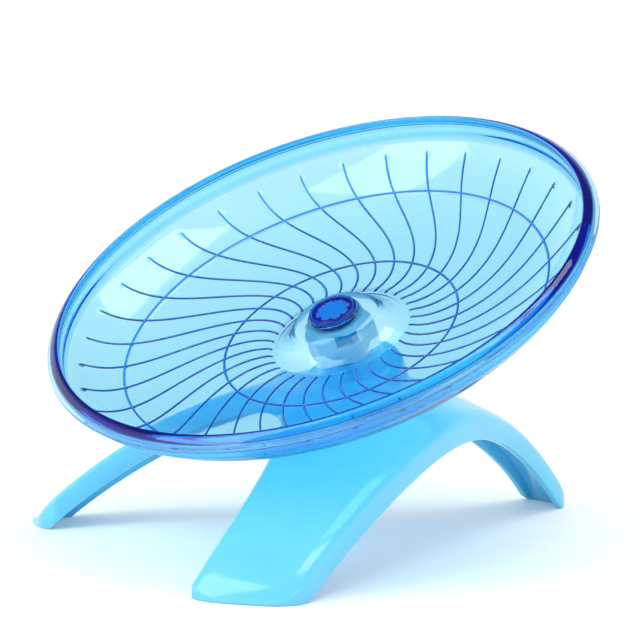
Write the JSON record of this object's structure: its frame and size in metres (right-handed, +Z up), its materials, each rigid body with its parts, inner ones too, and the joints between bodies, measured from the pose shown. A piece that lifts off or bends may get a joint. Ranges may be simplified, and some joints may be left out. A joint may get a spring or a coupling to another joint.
{
  "type": "hamster exercise wheel",
  "caption": "Clear tilted running saucer with swept ribs that turns on a sealed ball bearing above an arched three-legged stand.",
  "frame": {"origin": "on the ground, below the middle of the object's bounding box", "axes": "+Z up, +X towards the dish's low side, +Y along the level line across the dish"},
  "size_m": [0.1834, 0.1912, 0.13],
  "materials": {
    "dish_clear_blue": "clear gloss",
    "cap_dark_blue": "gloss",
    "carrier_white": "satin, slightly milky",
    "stand_cyan": "gloss",
    "bright_steel": "plain bright zinc",
    "bearing_steel": "ground bright",
    "cage_ivory": "matte"
  },
  "bodies": {
    "stand": {"stand": "stand_cyan", "axle_bolt": "bright_steel", "lower_washer": "bright_steel", "upper_washer": "bright_steel", "lock_nut": "bright_steel", "bearing_inner_ring": "bearing_steel"},
    "wheel": {"dish": "dish_clear_blue", "hub_cap": "cap_dark_blue", "bearing_carrier": "carrier_white", "bearing_outer_ring": "bearing_steel", "bearing_shield_upper": "bearing_steel", "bearing_shield_lower": "bearing_steel"},
    "ball_cage": {"bearing_cage": "cage_ivory", "bearing_ball_1": "bearing_steel", "bearing_ball_2": "bearing_steel", "bearing_ball_3": "bearing_steel", "bearing_ball_4": "bearing_steel", "bearing_ball_5": "bearing_steel", "bearing_ball_6": "bearing_steel", "bearing_ball_7": "bearing_steel"}
  },
  "joints": [
    {"name": "wheel_spin", "type": "hinge", "parent": "stand", "child": "wheel", "pos_m": [-0.00638, 0.00568, 0.06288], "axis": [0.4879, 0, 0.8729], "continuous": true},
    {"name": "cage_orbit", "type": "hinge", "parent": "stand", "child": "ball_cage", "pos_m": [-0.00638, 0.00568, 0.06288], "axis": [0.4879, 0, 0.8729], "continuous": true}
  ],
  "couplings": [
    {"joint": "cage_orbit", "follows": "wheel_spin", "ratio": 0.635}
  ]
}
